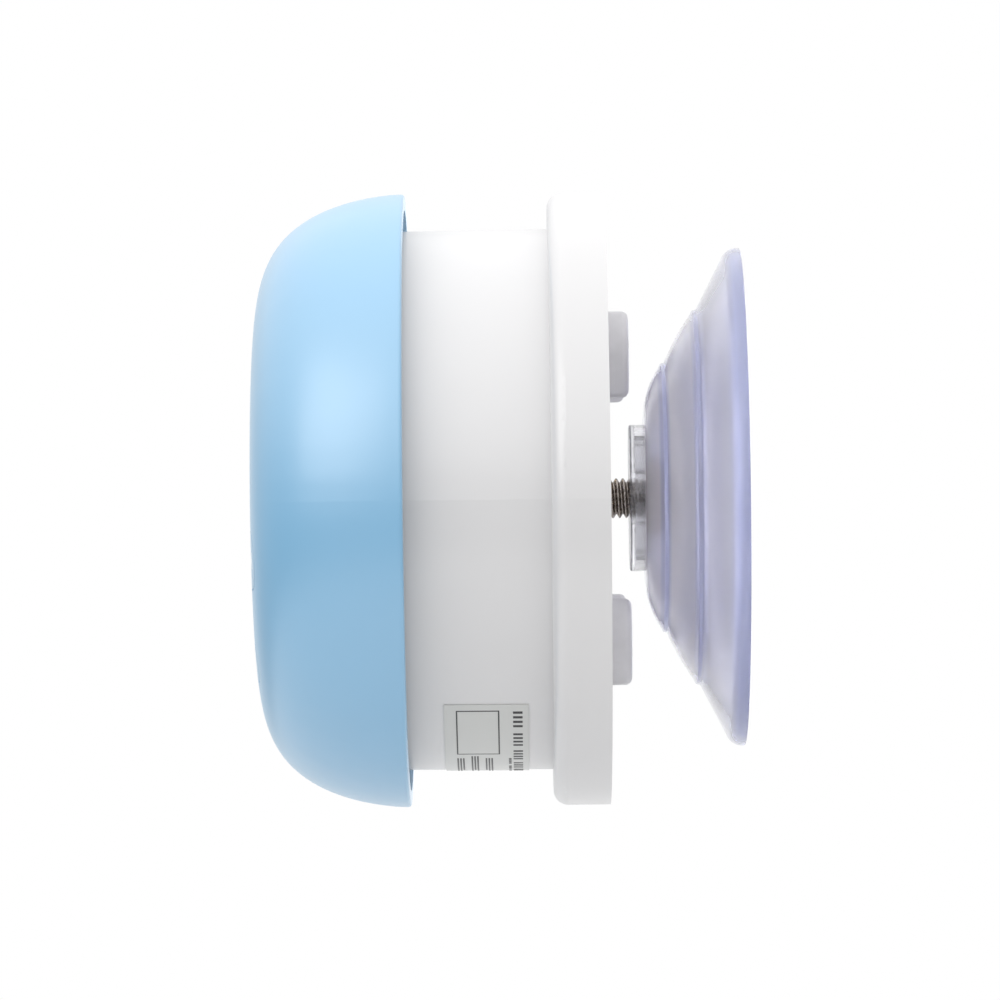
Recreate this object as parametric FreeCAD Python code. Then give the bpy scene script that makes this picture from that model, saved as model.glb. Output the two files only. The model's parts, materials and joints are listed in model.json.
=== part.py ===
import FreeCAD, Part
import math
import os

# Shower speaker on a suction cup. Millimetres, +Z up, front of the speaker towards -Y.
# The origin is the centre of the suction cup's rim, on the wall. Every station below is a
# distance in front of the wall, so a station s lies at y = -s.

V = FreeCAD.Vector
BACK = V(0, 1, 0)
FORTH = V(0, -1, 0)

# Overall
BODY_R = 46.0            # front cover and rear flange
CUP_R = 37.4             # suction cup
APEX = 73.05             # front of the dome
COVER_RIM = 50.15        # open rear edge of the front cover
FLANGE_FRONT = 28.8
FLANGE_REAR = 20.3
CUP_FACE = 14.7          # front face of the suction cup's hub

# Front cover
DOME_POWER = 7.0         # how square the dome's shoulder is
CREST_POWER = 1.8        # how full the shoulder is towards the front
CREST_R = 17.6           # flat middle of the dome, where the grille is
DOME_STEPS = 12
WALL = 2.4
LIP_ROUND = 0.5
SPIGOT_R = 37.95
SPIGOT_WALL = 2.35
SPIGOT_END = 55.5
GRILLE_PITCH = 2.5
GRILLE_RINGS = 6
GRILLE_HOLE_R = 0.75

# Drum and flange
DRUM_FRONT_R = 40.4
DRUM_REAR_R = 40.6
DRUM_BORE_R = 38.0
DRUM_FRONT = 61.0
FLANGE_ROUND = 2.2
COVER_PLATE = 2.6        # rear cover's thickness
COVER_R = 43.4
SKIRT_BORE_R = 43.6
SEAT = FLANGE_REAR + COVER_PLATE
PILLAR_R = 3.5
PILLAR_END = 33.0
FOOT_R = 6.35
FOOT_HEIGHT = 3.1
FOOT_OFFSET = 21.1       # from the axis, along X and along Z

# Stud: M6 with a 1 mm pitch, its bore plain
STUD_R = 3.0
STUD_BORE_R = 3.05
STUD_TIP = 29.3
HEAD_R = 5.0
HEAD_REAR = 11.7
HEAD_FRONT = 13.4
DISC_R = 11.0
DISC_REAR = 14.75
DISC_FRONT = 16.9
INSERT_R = 5.0
INSERT_END = 31.3
SOCKET_R = 7.4
SOCKET_REAR = 10.9
SOCKET_FRONT = 14.1

# Loudspeaker, 40 mm class
DRIVER_FACE = 68.05      # front of its mounting flange
DRIVER_R = 20.3
DRIVER_HOLE_R = 17.4
MAGNET_R = 12.5
COIL_R = 6.45
GASKET = 0.8

# Buttons and the ring board behind them
BUTTON_R = 4.2
BUTTON_RING_R = 27.5
BUTTON_STEP = 36.0       # degrees between neighbours
BUTTON_GAP = 0.2
BUTTON_FLANGE_R = 5.2
BUTTON_SEAT = 68.7       # inner face that the button's flange rests on
RING_BOARD_FACE = 64.45
RING_BOARD = 1.2
RING_IN = 24.8
RING_OUT = 33.2
KEYMAT_FACE = 67.25
KEYMAT = 0.8

# Electronics in the drum
BOARD_FACE = 34.2        # the main board lies on the pillars
BOARD_R = 36.0
PORT = 35.5              # centre of the charging socket
PORT_SLOT_HALF = (4.6, 1.5)
PORT_CUT_HALF = (8.5, 4.0)
PORT_FLOOR_R = 39.3
HINGE_X = -40.0
HINGE_Z = 7.6

CLEAR = 1.0              # how far a cutting tool runs past what it cuts


def rod(radius, rear, front, x=0.0, z=0.0):
    return Part.makeCylinder(radius, front - rear, V(x, -rear, z), FORTH)


def ring(outer, inner, rear, front, x=0.0, z=0.0):
    return rod(outer, rear, front, x, z).cut(rod(inner, rear - CLEAR, front + CLEAR, x, z))


def block(x0, x1, rear, front, z0, z1):
    return Part.makeBox(x1 - x0, front - rear, z1 - z0, V(x0, -front, z0))


def at_angle(radius, degrees):
    """The x and z of a point on a circle about the axis, measured from +X towards +Z."""
    return radius * math.cos(math.radians(degrees)), radius * math.sin(math.radians(degrees))


def turned_by(shape, degrees):
    """The shape swung about the axis, from +X towards +Z."""
    return shape.copy().rotate(V(0, 0, 0), FORTH, degrees)


def point(radius, station):
    return V(radius, -station, 0)


def line(a, b):
    return Part.makeLine(point(*a), point(*b))


def arc(a, middle, b):
    return Part.Arc(point(*a), point(*middle), point(*b)).toShape()


def revolved(edges, degrees=360.0):
    return Part.Face(Part.Wire(edges)).revolve(V(0, 0, 0), BACK, degrees)


def revolved_outline(corners, degrees=360.0):
    closed = corners + corners[:1]
    return revolved([line(a, b) for a, b in zip(closed, closed[1:])], degrees)


def joined(shapes):
    return shapes[0].fuse(shapes[1:]).removeSplitter()


def cut_by(shape, tools):
    return shape.cut(Part.makeCompound(tools))


def rounded(shape, radius, wanted):
    edges = [e for e in shape.Edges if wanted(e)]
    return shape.makeFillet(radius, edges)


def circle_at(radius, station):
    """A test for the round edge of this radius at this station, about any axis along Y."""
    def test(edge):
        if edge.Degenerated or not isinstance(edge.Curve, Part.Circle):
            return False
        curve = edge.Curve
        return abs(curve.Radius - radius) < 0.01 and abs(curve.Center.y + station) < 0.01
    return test


def bent_lead(points, bend, radius):
    """A round lead along straight runs with equal arcs between them."""
    edges = []
    start = points[0]
    for here, after in zip(points[1:-1], points[2:]):
        into = (here - start).normalize()
        away = (after - here).normalize()
        first = here - into * bend
        last = here + away * bend
        diagonal = (first + last) * 0.5 - here
        reach = bend * (math.sqrt(2) - 1)
        middle = here + diagonal.normalize() * reach
        edges.append(Part.makeLine(start, first))
        edges.append(Part.Arc(first, middle, last).toShape())
        start = last
    edges.append(Part.makeLine(start, points[-1]))
    path = Part.Wire(edges)
    section = Part.Wire(Part.makeCircle(radius, points[0], points[1] - points[0]))
    return path.makePipeShell([section], True, False)


# ---------------------------------------------------------------- front cover

def dome(outer_r, apex, base, skirt=0.0):
    """A squared dome from base to a flat crest, with a straight skirt below its base."""
    height = apex - base
    start = math.asin(((CREST_R + 5.0) / outer_r) ** (DOME_POWER / 2))
    places = [point(CREST_R, apex)]
    for step in range(DOME_STEPS):
        angle = start + (math.pi / 2 - start) * (step / DOME_STEPS) ** 1.6
        radius = outer_r * math.sin(angle) ** (2 / DOME_POWER)
        places.append(point(radius, base + height * math.cos(angle) ** (2 / CREST_POWER)))
    places.append(point(outer_r, base))
    curve = Part.BSplineCurve()
    curve.interpolate(Points=places, InitialTangent=V(1, 0, 0), FinalTangent=V(0, 1, 0))
    edges = [line((0, apex), (CREST_R, apex)), curve.toShape()]
    foot = base - skirt
    if skirt:
        edges.append(line((outer_r, base), (outer_r, foot)))
    edges.append(line((outer_r, foot), (0, foot)))
    edges.append(line((0, foot), (0, apex)))
    return revolved(edges)


def outer_dome():
    return dome(BODY_R + 0.05, APEX, COVER_RIM)


def button_angles():
    return [-90 + BUTTON_STEP * k for k in (-2, -1, 0, 1, 2)]


def between_buttons():
    return [-90 + BUTTON_STEP * k for k in (-1.5, -0.5, 0.5, 1.5)]


def driver_screw_places():
    return [at_angle(22.0, a) for a in (36, 144, -36, -144)]


def ring_screw_places():
    return [at_angle(30.5, a) for a in between_buttons() + [50, 130]]


LED_PLACE = at_angle(BUTTON_RING_R, 76)
MIC_PLACE = at_angle(BUTTON_RING_R, 104)


def grille_holes():
    holes = [rod(GRILLE_HOLE_R, 69.7, 76)]
    for turn in range(1, GRILLE_RINGS + 1):
        for k in range(6 * turn):
            x, z = at_angle(GRILLE_PITCH * turn, 60.0 * k / turn + 20 * turn)
            holes.append(rod(GRILLE_HOLE_R, 69.7, 76, x, z))
    return holes


def front_cover():
    shell = outer_dome()
    shell = rounded(shell, LIP_ROUND, circle_at(BODY_R + 0.05, COVER_RIM))
    inner_r = BODY_R + 0.05 - WALL
    shell = shell.cut(dome(inner_r, APEX - WALL - 0.2, COVER_RIM, CLEAR))
    top = APEX - 1.0
    features = [
        ring(DRIVER_R, DRIVER_HOLE_R, DRIVER_FACE + GASKET, top),
        ring(SPIGOT_R, SPIGOT_R - SPIGOT_WALL, SPIGOT_END, 68.4),
        ring(DRUM_FRONT_R, SPIGOT_R - SPIGOT_WALL, DRUM_FRONT, 66.0),
    ]
    for x, z in driver_screw_places():
        features.append(rod(2.3, DRIVER_FACE, top, x, z))
    for x, z in ring_screw_places():
        features.append(rod(2.0, RING_BOARD_FACE, 70.5, x, z))
    for a in button_angles():
        features.append(rod(BUTTON_FLANGE_R + 0.8, BUTTON_SEAT, 70.8, *at_angle(BUTTON_RING_R, a)))
    shell = joined([shell] + features)
    seal_groove = ring(SPIGOT_R + CLEAR, SPIGOT_R - 1.1, 57.0, 58.4)
    tools = grille_holes() + [seal_groove]
    tools.append(rod(1.3, 64, 76, *LED_PLACE))
    tools.append(rod(0.6, 64, 76, *MIC_PLACE))
    for a in button_angles():
        x, z = at_angle(BUTTON_RING_R, a)
        tools.append(rod(BUTTON_R + BUTTON_GAP, 64, 76, x, z))
        tools.append(rod(BUTTON_FLANGE_R + 0.3, 66, BUTTON_SEAT, x, z))
    for x, z in driver_screw_places():
        tools.append(rod(0.95, DRIVER_FACE - CLEAR, 70.8, x, z))
    for x, z in ring_screw_places():
        tools.append(rod(0.95, RING_BOARD_FACE - CLEAR, 68.5, x, z))
    return cut_by(shell, tools)


def grille_cloth():
    front = APEX - WALL - 0.2
    return rod(17.3, front - 0.3, front)


def button(angle):
    x, z = at_angle(BUTTON_RING_R, angle)
    stem = rod(BUTTON_R, BUTTON_SEAT - 0.8, APEX + CLEAR, x, z).common(outer_dome())
    flange = rod(BUTTON_FLANGE_R, BUTTON_SEAT - 0.8, BUTTON_SEAT - 0.05, x, z)
    return joined([stem, flange])


def keymat():
    sheet = ring(RING_OUT, RING_IN, KEYMAT_FACE - KEYMAT, KEYMAT_FACE)
    sheet = sheet.cut(block(-50, 50, 60, 75, -1.5, 50))
    holes = [rod(2.3, 60, 75, x, z) for x, z in ring_screw_places()]
    return cut_by(sheet, holes)


def button_board():
    board = ring(RING_OUT, RING_IN, RING_BOARD_FACE - RING_BOARD, RING_BOARD_FACE)
    holes = [rod(1.1, 60, 75, x, z) for x, z in ring_screw_places()]
    return cut_by(board, holes)


def pan_screw(head_r, head, shank_r, length, seat, x, z):
    """A pan head behind its seat, and a shank that runs to the front."""
    return joined([rod(head_r, seat - head, seat, x, z), rod(shank_r, seat, seat + length, x, z)])


def button_board_screws():
    seat = RING_BOARD_FACE - RING_BOARD
    return [pan_screw(1.8, 1.2, 0.9, 4.6, seat, x, z) for x, z in ring_screw_places()]


def tact_switches():
    switches = []
    half = 2.25
    for a in button_angles():
        x, z = at_angle(BUTTON_RING_R, a)
        case = block(x - half, x + half, RING_BOARD_FACE, RING_BOARD_FACE + 1.5, z - half, z + half)
        plunger = rod(1.1, RING_BOARD_FACE + 1.5, KEYMAT_FACE - KEYMAT, x, z)
        switches.append(joined([case, plunger]))
    return switches


def status_led():
    x, z = LED_PLACE
    return block(x - 0.8, x + 0.8, RING_BOARD_FACE, RING_BOARD_FACE + 0.8, z - 0.5, z + 0.5)


def led_lens():
    pipe = rod(1.2, RING_BOARD_FACE + 1.0, APEX, *LED_PLACE).common(outer_dome())
    return joined([pipe, rod(1.9, 67.7, 68.5, *LED_PLACE)])


def microphone():
    return rod(2.0, RING_BOARD_FACE, RING_BOARD_FACE + 1.6, *MIC_PLACE)


def microphone_boot():
    boot = rod(2.8, RING_BOARD_FACE, 69.0, *MIC_PLACE)
    return boot.cut(rod(2.0, 64, RING_BOARD_FACE + 1.6, *MIC_PLACE)).cut(rod(0.6, 64, 71, *MIC_PLACE))


# ---------------------------------------------------------------- loudspeaker

def driver_gasket():
    return ring(DRIVER_R - 0.7, DRIVER_HOLE_R + 0.2, DRIVER_FACE, DRIVER_FACE + GASKET)


def driver_basket():
    f = DRIVER_FACE
    bowl = revolved_outline([
        (DRIVER_R, f), (DRIVER_R, f - 1), (18.2, f - 1), (13.3, f - 7.4), (13.3, f - 9.1),
        (7.4, f - 9.1), (7.4, f - 8.3), (11.8, f - 8.3), (11.8, f - 7.6), (12.4, f - 7.6),
        (DRIVER_HOLE_R, f - 1), (DRIVER_HOLE_R, f - 0.5), (18.6, f - 0.5), (18.6, f),
    ])
    ears = [rod(2.4, f - 1, f, x, z) for x, z in driver_screw_places()]
    webs = [turned_by(block(19.4, 22, f - 1, f, -2.4, 2.4), a) for a in (36, 144, -36, -144)]
    windows = [turned_by(block(12, 20, f - 6.2, f - 2, -3.6, 3.6), 60 * k + 30) for k in range(6)]
    holes = [rod(1.1, f - 2, f + CLEAR, x, z) for x, z in driver_screw_places()]
    hollow = rod(18.6, f - 0.5, f + CLEAR)
    return cut_by(joined([bowl] + ears + webs), windows + holes + [hollow])


def driver_surround():
    """A rolled rubber ring between the cone's edge and the basket."""
    low = DRIVER_FACE - 0.5
    lip = 0.3
    middle = 16.1
    outside = 1.5
    inside = outside - lip
    reach = math.sqrt(outside ** 2 - lip ** 2)
    return revolved([
        line((13.8, low), (middle - inside, low)),
        arc((middle - inside, low), (middle, low + inside), (middle + inside, low)),
        line((middle + inside, low), (18.6, low)),
        line((18.6, low), (18.6, low + lip)),
        line((18.6, low + lip), (middle + reach, low + lip)),
        arc((middle + reach, low + lip), (middle, low + outside), (middle - reach, low + lip)),
        line((middle - reach, low + lip), (13.8, low + lip)),
        line((13.8, low + lip), (13.8, low)),
    ])


def driver_cone():
    f = DRIVER_FACE
    thick = 0.4
    return revolved_outline([
        (14.5, f - 0.5), (14.5, f - 0.5 - thick), (COIL_R, f - 5.3 - thick), (COIL_R, f - 5.3),
    ])


def driver_dust_cap():
    """A thin spherical cap over the coil."""
    edge = DRIVER_FACE - 5.0
    edge_r = 6.9
    rise = 1.9
    ball_r = (edge_r ** 2 + rise ** 2) / (2 * rise)
    centre = V(0, ball_r - rise - edge, 0)
    skin = Part.makeSphere(ball_r, centre, BACK).cut(Part.makeSphere(ball_r - 0.3, centre, BACK))
    return skin.common(rod(edge_r, edge, edge + rise + CLEAR))


def voice_coil():
    f = DRIVER_FACE
    former = ring(COIL_R, COIL_R - 0.2, f - 11.3, f - 5.3)
    winding = ring(COIL_R + 0.3, COIL_R, f - 11.0, f - 9.0)
    return joined([former, winding])


def driver_spider():
    """A corrugated disc between the voice coil and the basket's ledge."""
    low = DRIVER_FACE - 7.6
    lip = 0.3
    wave = 0.5
    half = 0.9
    inner = COIL_R + 0.05
    outer = 12.35
    radius = inner + 0.3
    edges = [line((inner, low), (inner, low + lip)), line((outer, low), (outer, low + lip))]
    edges += [line((inner, s), (radius, s)) for s in (low, low + lip)]
    for k in range(3):
        side = wave if k % 2 == 0 else -wave
        for s in (low, low + lip):
            edges.append(arc((radius, s), (radius + half, s + side), (radius + 2 * half, s)))
        radius += 2 * half
    edges += [line((radius, s), (outer, s)) for s in (low, low + lip)]
    return revolved(Part.__sortEdges__(edges))


def driver_top_plate():
    return ring(MAGNET_R, 7.1, DRIVER_FACE - 10.9, DRIVER_FACE - 9.1)


def driver_magnet():
    return ring(MAGNET_R - 0.2, 8.0, DRIVER_FACE - 15.9, DRIVER_FACE - 10.9)


def driver_yoke():
    plate = rod(MAGNET_R, DRIVER_FACE - 17.7, DRIVER_FACE - 15.9)
    pole = rod(6.0, DRIVER_FACE - 15.9, DRIVER_FACE - 8.9)
    return rounded(joined([plate, pole]), 0.6, circle_at(MAGNET_R, DRIVER_FACE - 17.7))


def driver_terminals():
    f = DRIVER_FACE
    tag = block(13.35, 14.35, f - 9.6, f - 7.4, -1.0, 6.0)
    lugs = [block(14.35, 16.35, f - 8.6, f - 8.0, z - 0.7, z + 0.7) for z in (1.2, 3.8)]
    return joined([tag] + lugs)


def driver_screws():
    seat = DRIVER_FACE - 1
    return [pan_screw(1.9, 1.3, 0.9, 3.6, seat, x, z) for x, z in driver_screw_places()]


# ---------------------------------------------------------------- drum and rear

def foot_places():
    return {
        "upper_right": (FOOT_OFFSET, FOOT_OFFSET),
        "upper_left": (-FOOT_OFFSET, FOOT_OFFSET),
        "lower_left": (-FOOT_OFFSET, -FOOT_OFFSET),
        "lower_right": (FOOT_OFFSET, -FOOT_OFFSET),
    }


def port_zone(outer_r, inner_r, half_z, half_y):
    """A curved slab of the drum's wall on its left side, centred on the charging socket."""
    slab = ring(outer_r, inner_r, PORT - half_y, PORT + half_y)
    return slab.common(block(-BODY_R, -20, PORT - half_y, PORT + half_y, -half_z, half_z))


def drum_housing():
    web = FLANGE_FRONT - 2.2
    corner = FLANGE_ROUND * (1 - math.sqrt(0.5))
    drum = revolved([
        line((DRUM_BORE_R, DRUM_FRONT), (DRUM_FRONT_R, DRUM_FRONT)),
        line((DRUM_FRONT_R, DRUM_FRONT), (DRUM_REAR_R, FLANGE_FRONT)),
        line((DRUM_REAR_R, FLANGE_FRONT), (BODY_R - FLANGE_ROUND, FLANGE_FRONT)),
        arc(
            (BODY_R - FLANGE_ROUND, FLANGE_FRONT),
            (BODY_R - corner, FLANGE_FRONT - corner),
            (BODY_R, FLANGE_FRONT - FLANGE_ROUND),
        ),
        line((BODY_R, FLANGE_FRONT - FLANGE_ROUND), (BODY_R, FLANGE_REAR)),
        line((BODY_R, FLANGE_REAR), (SKIRT_BORE_R, FLANGE_REAR)),
        line((SKIRT_BORE_R, FLANGE_REAR), (SKIRT_BORE_R, web)),
        line((SKIRT_BORE_R, web), (DRUM_REAR_R, web)),
        line((DRUM_REAR_R, web), (DRUM_REAR_R, SEAT)),
        line((DRUM_REAR_R, SEAT), (DRUM_BORE_R, SEAT)),
        line((DRUM_BORE_R, SEAT), (DRUM_BORE_R, DRUM_FRONT)),
    ])
    features = [port_zone(DRUM_BORE_R + 0.2, 36.8, 10.5, 5.5)]
    tools = [ring(39.9, 38.7, SEAT - CLEAR, SEAT + 1.0)]
    for turn, (x, z) in zip((45, 135, 225, 315), foot_places().values()):
        features.append(rod(PILLAR_R, SEAT, PILLAR_END, x, z))
        features.append(turned_by(block(32.5, DRUM_BORE_R + 0.3, SEAT, PILLAR_END, -0.9, 0.9), turn))
        tools.append(rod(1.4, SEAT - CLEAR, 29.0, x, z))
        tools.append(rod(1.2, 29.5, PILLAR_END + CLEAR, x, z))
    half_z, half_y = PORT_SLOT_HALF
    tools.append(block(-BODY_R, -35, PORT - half_y, PORT + half_y, -half_z, half_z))
    tools.append(port_zone(BODY_R, PORT_FLOOR_R, *PORT_CUT_HALF))
    return cut_by(joined([drum] + features), tools)


def o_ring(major, minor, station):
    return Part.makeTorus(major, minor, V(0, -station, 0), BACK)


def rear_cover():
    plate = rod(COVER_R, FLANGE_REAR, SEAT)
    boss = rod(INSERT_R + 3.0, FLANGE_REAR, INSERT_END + 1.0)
    ribs = [turned_by(block(7.5, 22, SEAT - 0.5, SEAT + 4.0, -0.8, 0.8), a) for a in (0, 90, 180, 270)]
    tools = [rod(INSERT_R, FLANGE_REAR - CLEAR, INSERT_END)]
    for x, z in foot_places().values():
        tools.append(rod(3.0, FLANGE_REAR - CLEAR, FLANGE_REAR + 1.7, x, z))
        tools.append(rod(1.6, FLANGE_REAR, SEAT + CLEAR, x, z))
    return cut_by(joined([plate, boss] + ribs), tools)


def stud_insert():
    """A brass insert with grooves that key it into the cover's boss."""
    body = rod(INSERT_R, FLANGE_REAR, INSERT_END)
    grooves = [ring(INSERT_R + CLEAR, INSERT_R - 0.5, s, s + 1.2) for s in (23.0, 26.0, 29.0)]
    bore = rod(STUD_BORE_R, FLANGE_REAR - CLEAR, STUD_TIP + 1.0)
    return cut_by(body, grooves + [bore])


def case_screws():
    seat = FLANGE_REAR + 1.7
    return [pan_screw(2.7, 1.5, 1.4, 7.0, seat, x, z) for x, z in foot_places().values()]


def bumper_foot(x, z):
    rear = FLANGE_REAR - FOOT_HEIGHT
    pad = rod(FOOT_R, rear, FLANGE_REAR, x, z)
    return rounded(pad, 1.0, circle_at(FOOT_R, rear))


def rating_label():
    """A thin sticker wrapped round the drum's lower side."""
    rear, front = 32.45, 44.85
    thick = 0.15
    slope = (DRUM_REAR_R - DRUM_FRONT_R) / (DRUM_FRONT - FLANGE_FRONT)
    rear_r = DRUM_FRONT_R + slope * (DRUM_FRONT - rear)
    front_r = DRUM_FRONT_R + slope * (DRUM_FRONT - front)
    sticker = revolved_outline([
        (rear_r, rear), (rear_r + thick, rear), (front_r + thick, front), (front_r, front),
    ], 57.0)
    return sticker.rotate(V(0, 0, 0), FORTH, -47.4)


# ---------------------------------------------------------------- charging port

def port_cover():
    half_z, half_y = PORT_CUT_HALF
    top = HINGE_Z - 0.7
    plate = ring(40.55, PORT_FLOOR_R + 0.05, PORT - half_y + 0.25, PORT + half_y - 0.25)
    plate = plate.common(block(-BODY_R, -30, 30, 41, 0.25 - half_z, top))
    tab = ring(41.1, 40.0, PORT - 2.0, PORT + 2.0).common(block(-BODY_R, -30, 30, 41, 0.25 - half_z, -6.6))
    plug = block(-39.6, -37.2, PORT - 1.15, PORT + 1.15, -3.9, 3.9)
    return joined([plate, tab, plug])


def port_cover_anchor():
    half_z, half_y = PORT_CUT_HALF
    rear, front = PORT - half_y + 0.25, PORT + half_y - 0.25
    strip = ring(40.5, PORT_FLOOR_R, rear, front)
    strip = strip.common(block(-BODY_R, -30, 30, 41, HINGE_Z - 0.3, half_z))
    return joined([strip, rod(0.3, rear, front, HINGE_X, HINGE_Z)])


def usb_socket():
    shell = block(-36.7, -31.1, BOARD_FACE, BOARD_FACE + 2.6, -3.75, 3.75)
    mouth = block(-37.7, -32.0, BOARD_FACE + 0.35, BOARD_FACE + 2.25, -3.4, 3.4)
    tongue = block(-36.2, -31.5, BOARD_FACE + 0.9, BOARD_FACE + 1.5, -2.2, 2.2)
    return joined([shell.cut(mouth), tongue])


# ---------------------------------------------------------------- electronics

def main_board():
    board = rod(BOARD_R, PILLAR_END, BOARD_FACE)
    return cut_by(board, [rod(1.4, 30, 36, x, z) for x, z in foot_places().values()])


def board_screws():
    screws = []
    for x, z in foot_places().values():
        head = rod(2.3, BOARD_FACE, BOARD_FACE + 1.5, x, z)
        shank = rod(1.2, 30.0, BOARD_FACE, x, z)
        screws.append(joined([head, shank]))
    return screws


def bluetooth_module():
    carrier = block(17, 30, BOARD_FACE, BOARD_FACE + 0.8, -14, -2)
    can = block(18, 27, BOARD_FACE + 0.8, BOARD_FACE + 2.4, -13, -3)
    return joined([carrier, can])


def amplifier_chip():
    return block(-27, -22, BOARD_FACE, BOARD_FACE + 1.5, 8, 12)


def filter_capacitors():
    return [rod(2.5, BOARD_FACE, BOARD_FACE + 6.0, *at_angle(27.0, a)) for a in (110, 125)]


def battery_pad():
    return block(-15, 15, BOARD_FACE, BOARD_FACE + 1.0, -17, 17)


def battery():
    pouch = block(-15, 15, BOARD_FACE + 1.0, BOARD_FACE + 8.5, -17, 16)
    return pouch.makeFillet(1.2, [e for e in pouch.Edges if abs(e.tangentAt(0).z) > 0.9])


def battery_wires():
    leads = []
    for x in (-1.5, 1.5):
        route = [V(x, -39.5, 16), V(x, -39.5, 20), V(x, -BOARD_FACE, 20)]
        leads.append(bent_lead(route, 2.5, 0.6))
    return leads


def speaker_wires():
    rear = DRIVER_FACE - 8.3
    leads = []
    for z in (1.2, 3.8):
        route = [V(16.35, -rear, z), V(27, -rear, z), V(27, -BOARD_FACE, z)]
        leads.append(bent_lead(route, 8.0, 0.6))
    return leads


def ribbon_sockets():
    near_front = block(-4, 4, 61.25, RING_BOARD_FACE - RING_BOARD, 28.6, 31.6)
    near_rear = block(-4, 4, BOARD_FACE, BOARD_FACE + 2.0, 28.6, 31.6)
    return [near_front, near_rear]


def keypad_ribbon():
    return block(-3, 3, BOARD_FACE + 2.0, 61.25, 30.0, 30.3)


# ---------------------------------------------------------------- stud and cup

def stud():
    shank = rod(STUD_R, HEAD_FRONT, STUD_TIP)
    tip = [e for e in shank.Edges if circle_at(STUD_R, STUD_TIP)(e)]
    shank = shank.makeChamfer(0.6, tip)
    return joined([rod(HEAD_R, HEAD_REAR, HEAD_FRONT), shank])


def hub_disc():
    """A hard disc on the stud, with six pockets open towards the cup."""
    disc = rod(DISC_R, DISC_REAR, DISC_FRONT)
    disc = rounded(disc, 0.3, circle_at(DISC_R, DISC_FRONT))
    pockets = ring(DISC_R - 1.2, 4.6, DISC_REAR - CLEAR, DISC_REAR + 1.4)
    spokes = [turned_by(block(0, DISC_R, 13, DISC_FRONT, -0.6, 0.6), 60 * k) for k in range(6)]
    return disc.cut(cut_by(pockets, spokes)).cut(rod(STUD_R, 13, 18))


def head_socket():
    """The hard capsule in the cup's hub that holds the stud's head and lets it turn."""
    capsule = rod(SOCKET_R, SOCKET_REAR, SOCKET_FRONT)
    room = rod(HEAD_R + 0.3, HEAD_REAR - 0.2, HEAD_FRONT + 0.2)
    return capsule.cut(room).cut(rod(STUD_R + 0.1, HEAD_FRONT, 16))


def suction_cup():
    """A soft bell with two raised steps, a flat sealing lip and a solid hub."""
    inner = Part.BSplineCurve()
    inner.interpolate(
        Points=[point(CUP_R - 1.4, 0), point(31, 2.9), point(24, 6.2), point(14, 8.7), point(0, 9.4)],
        FinalTangent=V(-1, 0, 0),
    )
    bell = revolved([
        inner.toShape(),
        line((0, 9.4), (0, CUP_FACE)),
        line((0, CUP_FACE), (12.4, CUP_FACE)),
        arc((12.4, CUP_FACE), (16.6, 13.85), (19.6, 12.3)),
        line((19.6, 12.3), (20.2, 12.05)),
        line((20.2, 12.05), (20.3, 11.5)),
        arc((20.3, 11.5), (24.0, 9.7), (27.5, 7.5)),
        line((27.5, 7.5), (28.1, 7.25)),
        line((28.1, 7.25), (28.2, 6.6)),
        line((28.2, 6.6), (35.7, 2.75)),
        arc((35.7, 2.75), (36.95, 1.85), (CUP_R, 0.7)),
        line((CUP_R, 0.7), (CUP_R, 0)),
        line((CUP_R, 0), (CUP_R - 1.4, 0)),
    ])
    pocket = rod(SOCKET_R + 0.3, SOCKET_REAR - 0.2, SOCKET_FRONT + 0.2)
    return bell.cut(pocket).cut(rod(STUD_R + 0.6, 12, 16))


# ---------------------------------------------------------------- all nodes

def all_nodes():
    buttons = dict(zip(("call", "volume_down", "power", "volume_up", "play"), button_angles()))
    nodes = {
        "front_cover": front_cover(),
        "grille_cloth": grille_cloth(),
        "keymat": keymat(),
        "button_board": button_board(),
        "button_board_screws": button_board_screws(),
        "tact_switches": tact_switches(),
        "status_led": status_led(),
        "led_lens": led_lens(),
        "microphone": microphone(),
        "microphone_boot": microphone_boot(),
        "driver_gasket": driver_gasket(),
        "driver_basket": driver_basket(),
        "driver_surround": driver_surround(),
        "driver_cone": driver_cone(),
        "driver_dust_cap": driver_dust_cap(),
        "voice_coil": voice_coil(),
        "driver_spider": driver_spider(),
        "driver_top_plate": driver_top_plate(),
        "driver_magnet": driver_magnet(),
        "driver_yoke": driver_yoke(),
        "driver_terminals": driver_terminals(),
        "driver_screws": driver_screws(),
        "drum_housing": drum_housing(),
        "front_seal": o_ring(37.4, 0.55, 57.7),
        "rear_seal": o_ring(39.3, 0.5, SEAT + 0.5),
        "rear_cover": rear_cover(),
        "stud_insert": stud_insert(),
        "case_screws": case_screws(),
        "rating_label": rating_label(),
        "port_cover": port_cover(),
        "port_cover_anchor": port_cover_anchor(),
        "usb_socket": usb_socket(),
        "main_board": main_board(),
        "board_screws": board_screws(),
        "bluetooth_module": bluetooth_module(),
        "amplifier_chip": amplifier_chip(),
        "filter_capacitors": filter_capacitors(),
        "battery_pad": battery_pad(),
        "battery": battery(),
        "battery_wires": battery_wires(),
        "speaker_wires": speaker_wires(),
        "ribbon_sockets": ribbon_sockets(),
        "keypad_ribbon": keypad_ribbon(),
        "stud": stud(),
        "hub_disc": hub_disc(),
        "head_socket": head_socket(),
        "suction_cup": suction_cup(),
    }
    for name, angle in buttons.items():
        nodes["button_" + name] = button(angle)
    for name, (x, z) in foot_places().items():
        nodes["foot_" + name] = bumper_foot(x, z)
    return nodes


def main():
    os.makedirs("parts", exist_ok=True)
    for name, shape in all_nodes().items():
        if isinstance(shape, list):
            shape = Part.makeCompound(shape)
        solids = shape.Solids
        print(name, len(solids), all(s.isValid() for s in solids), round(shape.Volume, 2))
        shape.exportStep("parts/" + name + ".step")


main()
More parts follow.
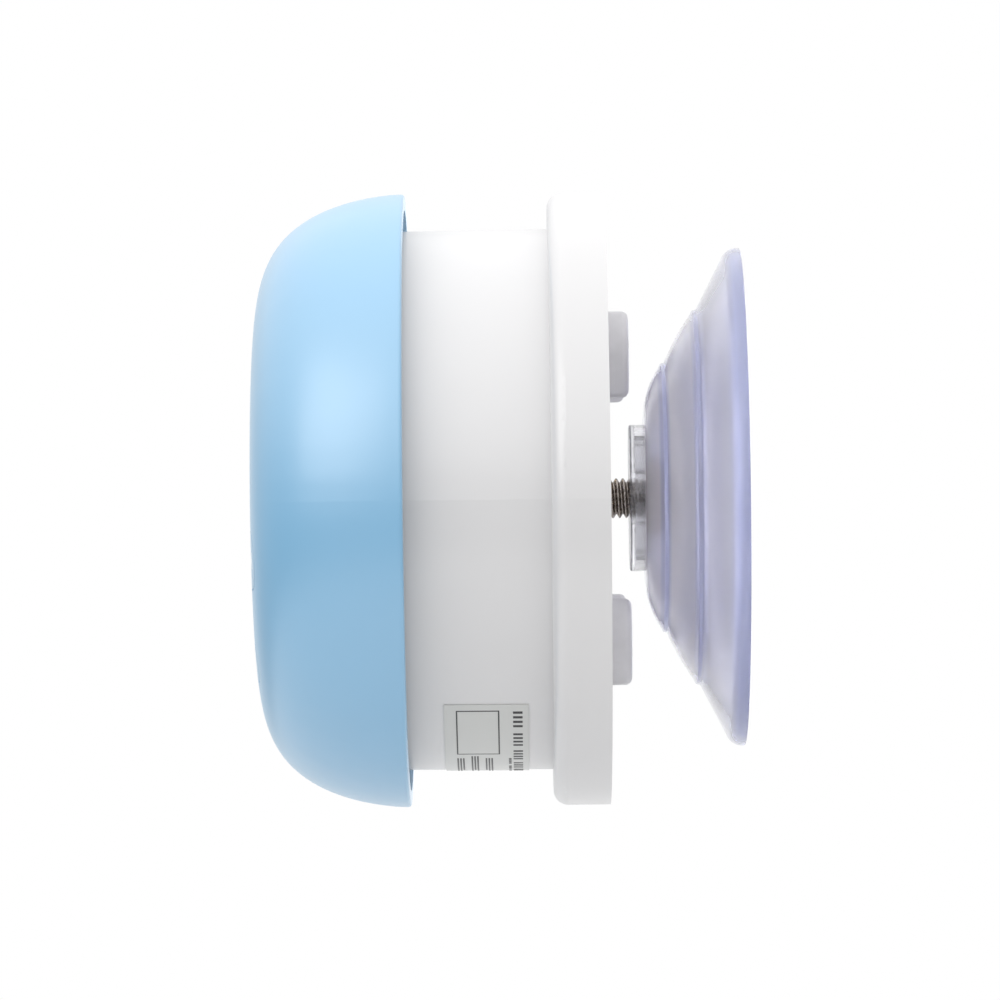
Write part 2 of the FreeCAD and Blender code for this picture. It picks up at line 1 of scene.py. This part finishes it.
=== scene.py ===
import json
import math
import bmesh
import bpy
from mathutils import Matrix, Vector


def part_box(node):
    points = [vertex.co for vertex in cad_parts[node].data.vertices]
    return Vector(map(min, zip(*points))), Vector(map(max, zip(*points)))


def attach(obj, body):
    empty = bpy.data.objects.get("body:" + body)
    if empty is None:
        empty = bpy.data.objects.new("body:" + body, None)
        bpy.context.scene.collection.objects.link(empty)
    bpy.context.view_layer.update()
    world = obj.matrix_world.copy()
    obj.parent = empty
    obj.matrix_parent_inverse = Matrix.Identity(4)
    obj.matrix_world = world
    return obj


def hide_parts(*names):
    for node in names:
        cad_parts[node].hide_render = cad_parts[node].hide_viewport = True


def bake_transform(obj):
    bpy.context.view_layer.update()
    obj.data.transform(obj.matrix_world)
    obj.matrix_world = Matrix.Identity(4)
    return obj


# Looks of a shower speaker on a suction cup. Metres, in the CAD frame: the wall is y = 0, the
# speaker faces -Y and +Z is up. A station is a distance in front of the wall, so y = -station.

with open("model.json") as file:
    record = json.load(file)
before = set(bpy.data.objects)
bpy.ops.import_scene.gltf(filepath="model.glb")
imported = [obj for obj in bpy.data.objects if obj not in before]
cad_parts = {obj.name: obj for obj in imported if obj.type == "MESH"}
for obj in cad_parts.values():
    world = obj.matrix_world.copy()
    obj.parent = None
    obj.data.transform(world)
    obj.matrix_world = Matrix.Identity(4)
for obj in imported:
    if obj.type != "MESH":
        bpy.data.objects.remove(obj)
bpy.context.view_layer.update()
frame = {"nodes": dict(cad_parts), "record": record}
NODES = frame["nodes"]
MM = 0.001

# Camera and room
SIGHT_HEIGHT = -0.00005
SIGHT_STATION = 0.03635
CAMERA_STATION = 0.0334
SIGHT_DISTANCE = 0.8955
SIGHT_HALF_ANGLE = math.radians(4.803)
SIGHT_ROLL = math.radians(-0.7)
FLOOR_Z = -0.1
FLOOR_R = 0.27
# Stops run from -1 to 1 along an axis, as (0 to 1, value). At the low end of X the sky is white.
SKY = 1.3                # strength that the ramps' values multiply
SKY_SIDE = [(0.0, 1.0), (0.02, 1.0), (0.07, 0.0), (1.0, 0.0)]
SKY_DEPTH = [(0.0, 0.9), (0.3, 1.0), (0.5, 1.0), (1.0, 0.9)]
SKY_HEIGHT = [(0.0, 0.38), (0.38, 0.34), (0.5, 0.46), (0.62, 0.9), (1.0, 1.22)]
KEY_PLACE = (0.45, -0.45, 0.3)
KEY_SIZE = 0.5
KEY_WATTS = 0.8
BACK_PLACE = (-0.3, 0.3, 0)
BACK_SIZE = 0.35
BACK_WATTS = 1.3

# Suction cup
CUP_FACE = 14.7 * MM     # station of the hub's face
CUP_TURN = 192           # steps round the cup

# Stud
PITCH = 1.0 * MM
STUD_R = 3.0 * MM
STUD_ROOT_R = 2.42 * MM
STUD_HEAD_R = 5.0 * MM
THREAD_TURN = 48         # steps in each turn of the thread

# Dome and print
DOME_R = 46.05 * MM
DOME_REAR = 50.15 * MM
DOME_FRONT = 73.05 * MM
DOME_POWER = 7           # squareness of its shoulder
CREST_POWER = 1.8        # and of its face
LABEL_R = 40.93 * MM     # of the label's face, at the wall
LABEL_TAPER = 0.2 / 32.2 # how much that falls with each unit of station
PRINT = 0.02 * MM        # how far print stands out
LINE = 0.45              # width of the strokes of the buttons' symbols, in millimetres


# ---------------------------------------------------------------- materials

def set_stops(ramp, stops):
    """Gives a colour ramp its (position, value) stops, where a value is a grey or a colour."""
    elements = ramp.color_ramp.elements
    while len(elements) < len(stops):
        elements.new(0.5)
    for element, (position, value) in zip(elements, stops):
        element.position = position
        grey = isinstance(value, (int, float))
        element.color = (value, value, value, 1) if grey else (*value, 1)


class Surface:
    """A node material: one Principled shader with procedural tone, roughness and relief."""

    def __init__(self, name, **sockets):
        self.material = bpy.data.materials.new(name)
        self.material.use_nodes = True
        self.tree = self.material.node_tree
        self.shader = self.tree.nodes["Principled BSDF"]
        self.place = self.node("ShaderNodeTexCoord").outputs["Object"]
        self.relief = None
        for socket, value in sockets.items():
            self.shader.inputs[socket.replace("_", " ")].default_value = value

    def node(self, kind, **properties):
        made = self.tree.nodes.new(kind)
        for key, value in properties.items():
            setattr(made, key, value)
        return made

    def link(self, start, end):
        self.tree.links.new(start, end)

    def noise(self, size, detail=3.0, stretch=(1, 1, 1)):
        """Noise whose features are about this size, in metres."""
        mapping = self.node("ShaderNodeMapping")
        mapping.inputs["Scale"].default_value = [s / size for s in stretch]
        self.link(self.place, mapping.inputs["Vector"])
        noise = self.node("ShaderNodeTexNoise")
        noise.inputs["Scale"].default_value = 1.0
        noise.inputs["Detail"].default_value = detail
        self.link(mapping.outputs["Vector"], noise.inputs["Vector"])
        return noise.outputs["Fac"]

    def ramp(self, source, stops, socket):
        """Drives a shader's socket from a source through a ramp of (position, value) stops."""
        ramp = self.node("ShaderNodeValToRGB")
        set_stops(ramp, stops)
        self.link(source, ramp.inputs["Fac"])
        self.link(ramp.outputs["Color"], self.shader.inputs[socket])
        return self

    def tone(self, size, dark, light):
        return self.ramp(self.noise(size), [(0.3, dark), (0.7, light)], "Base Color")

    def gloss(self, size, low, high):
        return self.ramp(self.noise(size, 2.0), [(0.3, low), (0.7, high)], "Roughness")

    def bump(self, source, height):
        """Adds relief of this height, in metres, to what is there."""
        bump = self.node("ShaderNodeBump")
        bump.inputs["Distance"].default_value = height
        self.link(source, bump.inputs["Height"])
        if self.relief is not None:
            self.link(self.relief, bump.inputs["Normal"])
        self.relief = bump.outputs["Normal"]
        self.link(self.relief, self.shader.inputs["Normal"])
        return self

    def depth_tint(self, color, density):
        """Colours the light by how far it has gone through the solid. Density is per metre."""
        volume = self.node("ShaderNodeVolumeAbsorption")
        volume.inputs["Color"].default_value = (*color, 1)
        volume.inputs["Density"].default_value = density
        output = [n for n in self.tree.nodes if n.type == "OUTPUT_MATERIAL"][0]
        self.link(volume.outputs["Volume"], output.inputs["Volume"])
        return self

    def grain(self, size, height):
        return self.bump(self.noise(size, 2.0), height)


def shade(color, factor):
    return tuple(min(1.0, c * factor) for c in color)


def moulded(name, color, rough, grain=0.3 * MM, height=0.0004 * MM, **sockets):
    """Moulded plastic: faint mottling, uneven gloss and a fine tool texture."""
    surface = Surface(name, **sockets)
    surface.tone(9 * MM, shade(color, 0.99), shade(color, 1.0))
    surface.gloss(12 * MM, rough * 0.95, rough * 1.05)
    return surface.grain(grain, height).material


def clear(name, color, rough, ior, deep, density, **sockets):
    """Clear plastic with faint flow haze, tinted by its depth."""
    surface = Surface(name, **{"Transmission_Weight": 1.0, "IOR": ior, **sockets})
    surface.tone(12 * MM, shade(color, 0.97), color)
    surface.gloss(5 * MM, rough * 0.8, rough * 1.25)
    return surface.depth_tint(deep, density).grain(4 * MM, 0.02 * MM).material


def cup_vinyl():
    """Soft clear vinyl. Its rim and its two steps are painted a little bluer, a painted tint in
    place of the tint that light picks up in the thicker vinyl there; below the first step it is a
    darker grey-lilac, and past it nearly untinted.
    """
    surface = Surface("cup_pvc", Transmission_Weight=0.7, IOR=1.25, Coat_Weight=0.6,
                      Coat_Roughness=0.12, Subsurface_Weight=0.7,
                      Subsurface_Radius=(4 * MM, 4 * MM, 4 * MM))
    split = surface.node("ShaderNodeSeparateXYZ")
    surface.link(surface.place, split.inputs["Vector"])
    depth = surface.node("ShaderNodeMapRange")
    depth.inputs["From Max"].default_value = -CUP_FACE
    surface.link(split.outputs["Y"], depth.inputs["Value"])
    # Base colour by station: the bluer rim and step bands are painted tint standing in for light
    # carried through thick vinyl.
    rim_painted_tint, skirt = (0.64, 0.68, 0.94), (0.57, 0.57, 0.66)
    fill, step_painted_tint = (0.95, 0.925, 0.975), (0.68, 0.70, 0.92)
    stations = [(0, rim_painted_tint), (1.6, rim_painted_tint), (2.5, skirt), (5.8, skirt), (6.3, step_painted_tint), (7.5, step_painted_tint),
                (7.9, fill), (11.0, fill), (11.4, step_painted_tint), (12.4, step_painted_tint), (12.8, fill)]
    stops = [(s * MM / CUP_FACE, color) for s, color in stations]
    surface.ramp(depth.outputs["Result"], stops, "Base Color")
    surface.gloss(5 * MM, 0.12, 0.18)
    return surface.depth_tint((0.55, 0.6, 0.95), 10).grain(4 * MM, 0.02 * MM).material


def metal(name, color, rough, brush=(1, 1, 1)):
    surface = Surface(name, Metallic=1.0)
    surface.tone(1.5 * MM, shade(color, 0.8), color)
    surface.gloss(0.8 * MM, rough * 0.8, rough * 1.3)
    return surface.bump(surface.noise(0.25 * MM, 2.0, brush), 0.004 * MM).material


def rubbery(name, color, rough, **sockets):
    surface = Surface(name, **sockets)
    surface.tone(4 * MM, shade(color, 0.9), color)
    surface.gloss(3 * MM, rough * 0.9, rough * 1.1)
    return surface.grain(0.3 * MM, 0.006 * MM).material


def woven(name, color, thread):
    """A woven cloth or grille cloth of crossed threads."""
    surface = Surface(name, Roughness=0.85, Sheen_Weight=0.3)
    surface.tone(2 * MM, shade(color, 0.8), shade(color, 1.2))
    for axis in ("X", "Z"):
        wave = surface.node("ShaderNodeTexWave", bands_direction=axis)
        wave.inputs["Scale"].default_value = WAVE / thread
        surface.link(surface.place, wave.inputs["Vector"])
        surface.bump(wave.outputs["Fac"], 0.05 * MM)
    return surface.material


def foam(name, color):
    surface = Surface(name, Roughness=0.9)
    surface.tone(1 * MM, shade(color, 0.7), color)
    cells = surface.node("ShaderNodeTexVoronoi")
    cells.inputs["Scale"].default_value = 1 / (0.5 * MM)
    surface.link(surface.place, cells.inputs["Vector"])
    return surface.bump(cells.outputs["Distance"], 0.15 * MM).material


def circuit(name, color, copper):
    """Solder mask over faint square tracks."""
    surface = Surface(name, Coat_Weight=0.3, Coat_Roughness=0.2)
    tracks = surface.node("ShaderNodeTexVoronoi", distance="MANHATTAN")
    tracks.inputs["Scale"].default_value = 1 / (3 * MM)
    surface.link(surface.place, tracks.inputs["Vector"])
    stops = [(0.0, copper), (0.1, color), (0.62, color), (0.66, shade(color, 1.5))]
    surface.ramp(tracks.outputs["Distance"], stops, "Base Color")
    surface.gloss(2 * MM, 0.3, 0.45)
    return surface.bump(tracks.outputs["Distance"], 0.02 * MM).material


WAVE = 0.314             # a wave texture's scale for one band in each unit of length

BLUE = (0.105, 0.385, 0.640)
WHITE = (0.665, 0.66, 0.665)
INK = (0.035, 0.035, 0.038)
SATIN = {"IOR": 1.6, "Specular_IOR_Level": 1.0, "Coat_Weight": 1.0, "Coat_IOR": 2.2,
         "Coat_Roughness": 0.4}


def make_materials():
    """One material for each of the record's material slots."""
    return {
        "blue_plastic": moulded("blue_plastic", BLUE, 0.36, **SATIN),
        "white_plastic": moulded("white_plastic", WHITE, 0.3, IOR=1.6, Specular_IOR_Level=0.9,
                                 Coat_Weight=0.4, Coat_IOR=1.8, Coat_Roughness=0.4),
        "cup_pvc": cup_vinyl(),
        "clear_plastic": clear("clear_plastic", (0.95, 0.95, 0.97), 0.16, 1.33,
                               (0.85, 0.86, 0.9), 20, Transmission_Weight=0.92),
        "foot_rubber": rubbery("foot_rubber", (0.86, 0.85, 0.88), 0.35, Subsurface_Weight=0.6,
                               Transmission_Weight=0.35,
                               Subsurface_Radius=(2 * MM, 2 * MM, 2 * MM)),
        "silicone": rubbery("silicone", (0.78, 0.78, 0.79), 0.5),
        "seal_rubber": rubbery("seal_rubber", (0.03, 0.03, 0.03), 0.6),
        "steel": metal("steel", (0.40, 0.36, 0.33), 0.25, (1, 6, 1)),
        "brass": metal("brass", (0.75, 0.56, 0.26), 0.25, (1, 6, 1)),
        "magnet": metal("magnet", (0.1, 0.1, 0.11), 0.5),
        "cone_paper": rubbery("cone_paper", (0.035, 0.035, 0.04), 0.75),
        "copper": metal("copper", (0.72, 0.34, 0.18), 0.3, (1, 12, 1)),
        "cloth": woven("cloth", (0.025, 0.025, 0.028), 0.35 * MM),
        "foam": foam("foam", (0.09, 0.09, 0.1)),
        "board": circuit("board", (0.01, 0.12, 0.05), (0.25, 0.3, 0.08)),
        "black_plastic": moulded("black_plastic", (0.03, 0.03, 0.032), 0.45),
        "pouch": metal("pouch", (0.7, 0.7, 0.72), 0.35),
        "wire": rubbery("wire", (0.5, 0.03, 0.02), 0.4),
        "ribbon": moulded("ribbon", (0.42, 0.18, 0.03), 0.3),
        "label": moulded("label", (0.60, 0.605, 0.59), 0.35, Coat_Weight=0.2),
        "button": moulded("button", shade(BLUE, 0.95), 0.36, **SATIN),
        "ink": moulded("ink", INK, 0.4),
        "icon": moulded("icon", (0.86, 0.9, 0.93), 0.4),
    }


def wear(piece, material):
    piece.data.materials.clear()
    piece.data.materials.append(material)
    return piece


def dress_nodes(materials):
    """Every CAD node takes the material of its slot."""
    slots = {part["node"]: part["material_slot"] for part in frame["record"]["subparts"]}
    for name, piece in NODES.items():
        for place in piece.material_slots:
            place.link = "OBJECT"
            place.material = materials[slots[name]]


# ---------------------------------------------------------------- mesh helpers

def piece_from(name, bm, material, sharp=32):
    bmesh.ops.recalc_face_normals(bm, faces=bm.faces)
    mesh = bpy.data.meshes.new(name)
    bm.to_mesh(mesh)
    bm.free()
    mesh.shade_smooth()
    mesh.set_sharp_from_angle(angle=math.radians(sharp))
    piece = bpy.data.objects.new(name, mesh)
    bpy.context.scene.collection.objects.link(piece)
    return wear(piece, material)


def arc_points(a, middle, b, steps):
    """Points from a to b on the circle through a, middle and b, all (radius, station)."""
    (ax, ay), (mx, my), (bx, by) = a, middle, b
    d = 2 * (ax * (my - by) + mx * (by - ay) + bx * (ay - my))
    aa, mm, bb = ax * ax + ay * ay, mx * mx + my * my, bx * bx + by * by
    cx = (aa * (my - by) + mm * (by - ay) + bb * (ay - my)) / d
    cy = (aa * (bx - mx) + mm * (ax - bx) + bb * (mx - ax)) / d
    radius = math.hypot(ax - cx, ay - cy)
    start = math.atan2(ay - cy, ax - cx)
    sweep = math.atan2(by - cy, bx - cx) - start
    sweep = (sweep + math.pi) % (2 * math.pi) - math.pi
    angles = [start + sweep * k / steps for k in range(steps + 1)]
    return [(cx + radius * math.cos(t), cy + radius * math.sin(t)) for t in angles]


def corner(before, at, after, radius, steps=4):
    """The points of a corner rounded with a short curve."""
    at = Vector(at)
    into = (at - Vector(before)).normalized() * radius
    away = (Vector(after) - at).normalized() * radius
    points = []
    for k in range(steps + 1):
        t = k / steps
        points.append(tuple((at - into).lerp(at, t).lerp(at.lerp(at + away, t), t)))
    return points


def turned(bm, profile, steps):
    """Revolves an outline of (radius, station) points about the axis, closing it on the axis."""
    rings = []
    for radius, station in profile:
        if radius < 1e-7:
            rings.append([bm.verts.new((0, -station, 0))])
            continue
        ring = []
        for k in range(steps):
            angle = 2 * math.pi * k / steps
            x, z = radius * math.cos(angle), radius * math.sin(angle)
            ring.append(bm.verts.new((x, -station, z)))
        rings.append(ring)
    for low, high in zip(rings, rings[1:]):
        for k in range(steps):
            face = [low[k % len(low)], low[(k + 1) % steps % len(low)],
                    high[(k + 1) % steps % len(high)], high[k % len(high)]]
            corners = list(dict.fromkeys(face))
            if len(corners) > 2:
                bm.faces.new(corners)


# ---------------------------------------------------------------- suction cup

def cup_outline():
    """Half the cup's section: from the ceiling's centre out to the lip and back over the top."""
    ceiling = arc_points((0, 9.4), (14, 8.75), (24, 6.2), 14)
    lip_underside = arc_points((24, 6.2), (30.4, 3.3), (36.0, 0), 12)[1:]
    lip = corner((36.0, 0), (37.4, 0), (37.4, 0.7), 0.12)
    skirt = arc_points((37.4, 0.7), (36.95, 1.85), (35.7, 2.75), 6)
    low_cone = corner((35.7, 2.75), (28.2, 6.6), (28.1, 7.25), 0.25)
    low_step = corner((28.2, 6.6), (28.1, 7.25), (27.5, 7.5), 0.2)
    high_cone = arc_points((27.5, 7.5), (24.0, 9.7), (20.3, 11.5), 10)
    high_step = corner((20.3, 11.5), (20.2, 12.05), (19.6, 12.3), 0.2)
    hub = arc_points((19.6, 12.3), (16.6, 13.85), (12.4, 14.7), 10)
    bore = [(3.6, 14.7), (3.2, 13.4), (0, 13.4)]
    outline = ceiling + lip_underside + lip + skirt + low_cone + low_step
    outline += high_cone + high_step + hub + bore
    return [(radius * MM, station * MM) for radius, station in outline]


def suction_cup(materials):
    """The clear bell, solid round the stud's head."""
    bm = bmesh.new()
    turned(bm, cup_outline(), CUP_TURN)
    cup = piece_from("clear_cup", bm, materials["cup_pvc"], 25)
    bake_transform(cup)
    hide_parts("suction_cup", "head_socket")


# ---------------------------------------------------------------- stud

def stud(materials):
    """The M6 stud: a flat head and a shank with a real single-start right-hand thread."""
    low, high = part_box("stud")
    head_rear, tip = -high.y, -low.y
    head_front = head_rear + 1.7 * MM
    neck_front = head_front + 1.2 * MM
    edge, neck_r = 0.2 * MM, 2.9 * MM
    bm = bmesh.new()
    turned(bm, [(0, head_rear), (STUD_HEAD_R - edge, head_rear), (STUD_HEAD_R, head_rear + edge),
                (STUD_HEAD_R, head_front - edge), (STUD_HEAD_R - edge, head_front),
                (neck_r, head_front), (neck_r, neck_front), (0, neck_front)], 64)
    thread(bm, neck_front, tip)
    piece = piece_from("threaded_stud", bm, materials["steel"], 40)
    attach(piece, "screw")
    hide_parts("stud")


def thread(bm, rear, front):
    """A threaded rod between two stations: at each angle the section climbs by the turn's share."""
    shares = [(0.0, 1.0), (0.10, 1.0), (0.44, 0.0), (0.56, 0.0), (0.90, 1.0)]
    turns = (front - rear) / PITCH
    whole = int(math.floor(turns)) + 1
    columns = []
    for k in range(THREAD_TURN):
        column = []
        for turn in range(-1, whole + 1):
            for share, crest in shares:
                station = rear + (turn + share + k / THREAD_TURN) * PITCH
                taper = min(1.0, max(0.0, (front - station) / (0.7 * MM)))
                if station < rear:
                    taper = 0.0
                radius = STUD_ROOT_R + (STUD_R - STUD_ROOT_R) * crest * taper
                station = min(max(station, rear), front)
                column.append((radius, station))
        angle = 2 * math.pi * k / THREAD_TURN
        columns.append([
            bm.verts.new((r * math.cos(angle), -s, r * math.sin(angle))) for r, s in column
        ])
    last = len(columns[0]) - 1
    for k in range(THREAD_TURN):
        here = columns[k]
        there = columns[(k + 1) % THREAD_TURN]
        climb = len(shares) if k == THREAD_TURN - 1 else 0
        for i in range(last):
            j = i + climb
            if j < last:
                bm.faces.new((here[i], here[i + 1], there[j + 1], there[j]))
    bmesh.ops.remove_doubles(bm, verts=bm.verts, dist=1e-7)
    bmesh.ops.dissolve_degenerate(bm, edges=bm.edges, dist=1e-7)
    bmesh.ops.holes_fill(bm, edges=[edge for edge in bm.edges if edge.is_boundary], sides=0)


# ---------------------------------------------------------------- print and strap

def slab(bm, low, high, across, along):
    """A thin closed slab between two surfaces given as functions of (u, v) from 0 to 1."""
    sheets = []
    for surface in (low, high):
        sheets.append([
            [bm.verts.new(surface(i / across, j / along)) for j in range(along + 1)]
            for i in range(across + 1)
        ])
    for sheet in sheets:
        for i in range(across):
            for j in range(along):
                bm.faces.new((sheet[i][j], sheet[i + 1][j], sheet[i + 1][j + 1], sheet[i][j + 1]))
    bottom, top = sheets
    loop = [(i, 0) for i in range(across)] + [(across, j) for j in range(along)]
    loop += [(i, along) for i in range(across, 0, -1)] + [(0, j) for j in range(along, 0, -1)]
    for (a, b), (c, d) in zip(loop, loop[1:] + loop[:1]):
        bm.faces.new((bottom[a][b], bottom[c][d], top[c][d], top[a][b]))


def print_mark(bm, rear, front, start, end):
    """A printed bar on the label, between two stations and two angles in degrees."""
    def sheet(lift):
        def surface(u, v):
            station = rear + (front - rear) * u
            angle = math.radians(start + (end - start) * v)
            radius = LABEL_R - LABEL_TAPER * station + lift
            return (radius * math.cos(angle), -station, radius * math.sin(angle))
        return surface

    slab(bm, sheet(-PRINT), sheet(PRINT), 1, max(2, int(abs(end - start) / 1.5)))


def label_print(materials):
    """An empty box and plain bars where the label is printed."""
    low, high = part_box("rating_label")
    front = -low.y
    line = 0.2 * MM
    turn = math.degrees(line / LABEL_R)
    left, right = front - 1.75 * MM, front - 8.1 * MM   # of the box
    top, bottom = -49.2, -67.6                          # of the box, in degrees
    small_print_end = -101
    bm = bmesh.new()
    print_mark(bm, left - line, left, top, bottom)
    print_mark(bm, right, right + line, top, bottom)
    print_mark(bm, right, left, top, top - turn)
    print_mark(bm, right, left, bottom + turn, bottom)
    for row in range(3):
        for stroke in range(3):
            station = left - (2.1 * row + 0.42 * stroke) * MM
            start = bottom - 2.6 + 1.3 * (row % 2)
            end = small_print_end + 9 * ((row + stroke) % 3)
            print_mark(bm, station - 0.24 * MM, station, start, end)
    for dash in range(26):
        start = top - 0.3 - 1.6 * dash
        if dash % 5 != 4:   # a column of bars in groups of four
            print_mark(bm, front - 11.5 * MM, front - 10.1 * MM, start, start - 0.75)
        if dash > 12 and dash % 4 != 0:   # a finer column beside its lower half
            print_mark(bm, front - 9.8 * MM, front - 9.4 * MM, start, start - 1.1)
    piece = piece_from("label_print", bm, materials["ink"])
    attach(piece, "speaker")


def dome_station(x, z):
    """Station of the dome's surface at a place seen from the front."""
    share = math.hypot(x, z) / DOME_R
    return DOME_REAR + (DOME_FRONT - DOME_REAR) * (1 - share ** DOME_POWER) ** (1 / CREST_POWER)


def symbol(materials, body, node, strokes):
    """A button's symbol: strokes are maps from (u, v) to an offset from the button's middle."""
    low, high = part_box(node)
    x, z = (low.x + high.x) / 2, (low.z + high.z) / 2

    def sheet(stroke, lift):
        def surface(u, v):
            dx, dz = stroke(u, v)
            return (x + dx, -dome_station(x + dx, z + dz) - lift, z + dz)
        return surface

    bm = bmesh.new()
    for stroke in strokes:
        slab(bm, sheet(stroke, -PRINT), sheet(stroke, PRINT), 6, 24)
    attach(piece_from(node + "_symbol", bm, materials["icon"]), body)


def bar(x0, z0, x1, z1, width, tip=None):
    """A straight stroke between two offsets, in millimetres, tapering to tip if that is given."""
    start, end = Vector((x0, z0)) * MM, Vector((x1, z1)) * MM
    side = (end - start).orthogonal().normalized() * MM

    def stroke(u, v):
        breadth = width + ((width if tip is None else tip) - width) * v
        return start.lerp(end, v) + side * breadth * (u - 0.5)
    return stroke


def bow(radius, width, start, end):
    """A stroke round the button's middle between two angles in degrees."""
    def stroke(u, v):
        angle = math.radians(start + (end - start) * v)
        reach = (radius + width * (u - 0.5)) * MM
        return Vector((reach * math.cos(angle), reach * math.sin(angle)))
    return stroke


def button_symbols(materials):
    symbol(materials, "power_key", "button_power",
           [bow(1.5, LINE, 125, 415), bar(0, 0.5, 0, 2.1, LINE)])
    symbol(materials, "volume_up_key", "button_volume_up",
           [bar(-1.6, 0, -0.23, 0, LINE), bar(0.23, 0, 1.6, 0, LINE), bar(0, -1.6, 0, 1.6, LINE)])
    symbol(materials, "volume_down_key", "button_volume_down", [bar(-1.6, 0, 1.6, 0, LINE)])
    symbol(materials, "play_key", "button_play",
           [bar(-1.7, 0, 0.3, 0, 2.4, 0.05), bar(0.7, -1.2, 0.7, 1.2, LINE),
            bar(1.5, -1.2, 1.5, 1.2, LINE)])
    symbol(materials, "call_key", "button_call",
           [bow(1.5, 0.5, 160, 290), bow(1.35, 1.1, 140, 160), bow(1.35, 1.1, 290, 310)])


def hinge_strap(materials):
    """The silicone strap that the charging port's cover bends on, over the hinge's bead."""
    low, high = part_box("port_cover_anchor")
    axis_x, axis_z, bead = -40.0 * MM, 7.6 * MM, 0.3 * MM
    cover_r, anchor_r = 40.55, 40.5
    path = []
    for z in (5.6, 6.2, 6.8):
        path.append((-math.sqrt(cover_r ** 2 - z * z) * MM, z * MM))
    for k in range(7):
        angle = math.radians(215 - 70 * k / 6)
        path.append((axis_x + bead * math.cos(angle), axis_z + bead * math.sin(angle)))
    for z in (8.1, 8.4):
        path.append((-math.sqrt(anchor_r ** 2 - z * z) * MM, z * MM))
    outward = Vector((-0.25 * MM, 0))

    def sheet(lift):
        def surface(u, v):
            k = round(v * (len(path) - 1))
            x, z = Vector(path[k]) + outward * lift
            return (x, low.y + 1.5 * MM + (high.y - low.y - 3 * MM) * u, z)
        return surface

    bm = bmesh.new()
    slab(bm, sheet(-0.2), sheet(0.8), 4, len(path) - 1)
    strap = piece_from("hinge_strap", bm, materials["silicone"])
    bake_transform(strap)


# ---------------------------------------------------------------- room

def camera():
    data = bpy.data.cameras.new("camera")
    data.sensor_width = 36
    data.lens = data.sensor_width / 2 / math.tan(SIGHT_HALF_ANGLE)
    data.clip_start = 0.01
    seen = bpy.data.objects.new("camera", data)
    aim = Vector((0, -SIGHT_STATION, SIGHT_HEIGHT))
    place = Vector((SIGHT_DISTANCE, -CAMERA_STATION, SIGHT_HEIGHT))
    level = (aim - place).to_track_quat("-Z", "Y").to_matrix().to_4x4()
    seen.matrix_world = Matrix.Translation(place) @ level @ Matrix.Rotation(SIGHT_ROLL, 4, "Z")
    bpy.context.scene.collection.objects.link(seen)
    bpy.context.scene.camera = seen


def lamp(name, place, aim, size, watts):
    data = bpy.data.lights.new(name, "AREA")
    data.shape = "RECTANGLE"
    data.size = data.size_y = size
    data.energy = watts
    made = bpy.data.objects.new(name, data)
    direction = Vector(aim) - Vector(place)
    turn = direction.to_track_quat("-Z", "Y").to_matrix().to_4x4()
    made.matrix_world = Matrix.Translation(place) @ turn
    bpy.context.scene.collection.objects.link(made)


def mixed(tree, mode, factor, first, second):
    """A mix of two colours. Without a factor it is whole, and without a second that is white."""
    mix = tree.nodes.new("ShaderNodeMix")
    mix.data_type = "RGBA"
    mix.blend_type = mode
    slots = [socket for socket in mix.inputs if socket.enabled]
    slots[0].default_value = 1
    if factor is not None:
        tree.links.new(factor, slots[0])
    tree.links.new(first, slots[1])
    if second is None:
        slots[2].default_value = (1 / SKY, 1 / SKY, 1 / SKY, 1)
    else:
        tree.links.new(second, slots[2])
    return [socket for socket in mix.outputs if socket.enabled][0]


def room():
    """A surround that is bright above, dim below and white far behind, and two soft lamps."""
    world = bpy.data.worlds.new("studio")
    bpy.context.scene.world = world
    world.use_nodes = True
    tree = world.node_tree
    sky = tree.nodes["Background"]
    sky.inputs["Strength"].default_value = SKY
    place = tree.nodes.new("ShaderNodeTexCoord")
    split = tree.nodes.new("ShaderNodeSeparateXYZ")
    tree.links.new(place.outputs["Generated"], split.inputs["Vector"])
    tones = {}
    for axis, stops in (("X", SKY_SIDE), ("Y", SKY_DEPTH), ("Z", SKY_HEIGHT)):
        scale = tree.nodes.new("ShaderNodeMapRange")
        scale.inputs["From Min"].default_value = -1
        tree.links.new(split.outputs[axis], scale.inputs["Value"])
        ramp = tree.nodes.new("ShaderNodeValToRGB")
        tree.links.new(scale.outputs["Result"], ramp.inputs["Fac"])
        set_stops(ramp, stops)
        tones[axis] = ramp.outputs["Color"]
    shaped = mixed(tree, "MULTIPLY", None, tones["Z"], tones["Y"])
    tree.links.new(mixed(tree, "MIX", tones["X"], shaped, None), sky.inputs["Color"])
    lamp("key", KEY_PLACE, (0, -0.04, 0), KEY_SIZE, KEY_WATTS)
    lamp("back", BACK_PLACE, (0, -0.007, 0), BACK_SIZE, BACK_WATTS)
    bpy.context.scene.view_settings.view_transform = "Standard"


def floor():
    bm = bmesh.new()
    bmesh.ops.create_circle(bm, cap_ends=True, segments=96, radius=FLOOR_R)
    bmesh.ops.translate(bm, verts=bm.verts, vec=(0.03, -SIGHT_STATION, FLOOR_Z))
    pale = moulded("floor", (0.63, 0.63, 0.63), 0.6)
    piece_from("floor", bm, pale)


def main():
    camera()
    room()
    floor()
    materials = make_materials()
    dress_nodes(materials)
    suction_cup(materials)
    stud(materials)
    label_print(materials)
    button_symbols(materials)
    hinge_strap(materials)


main()
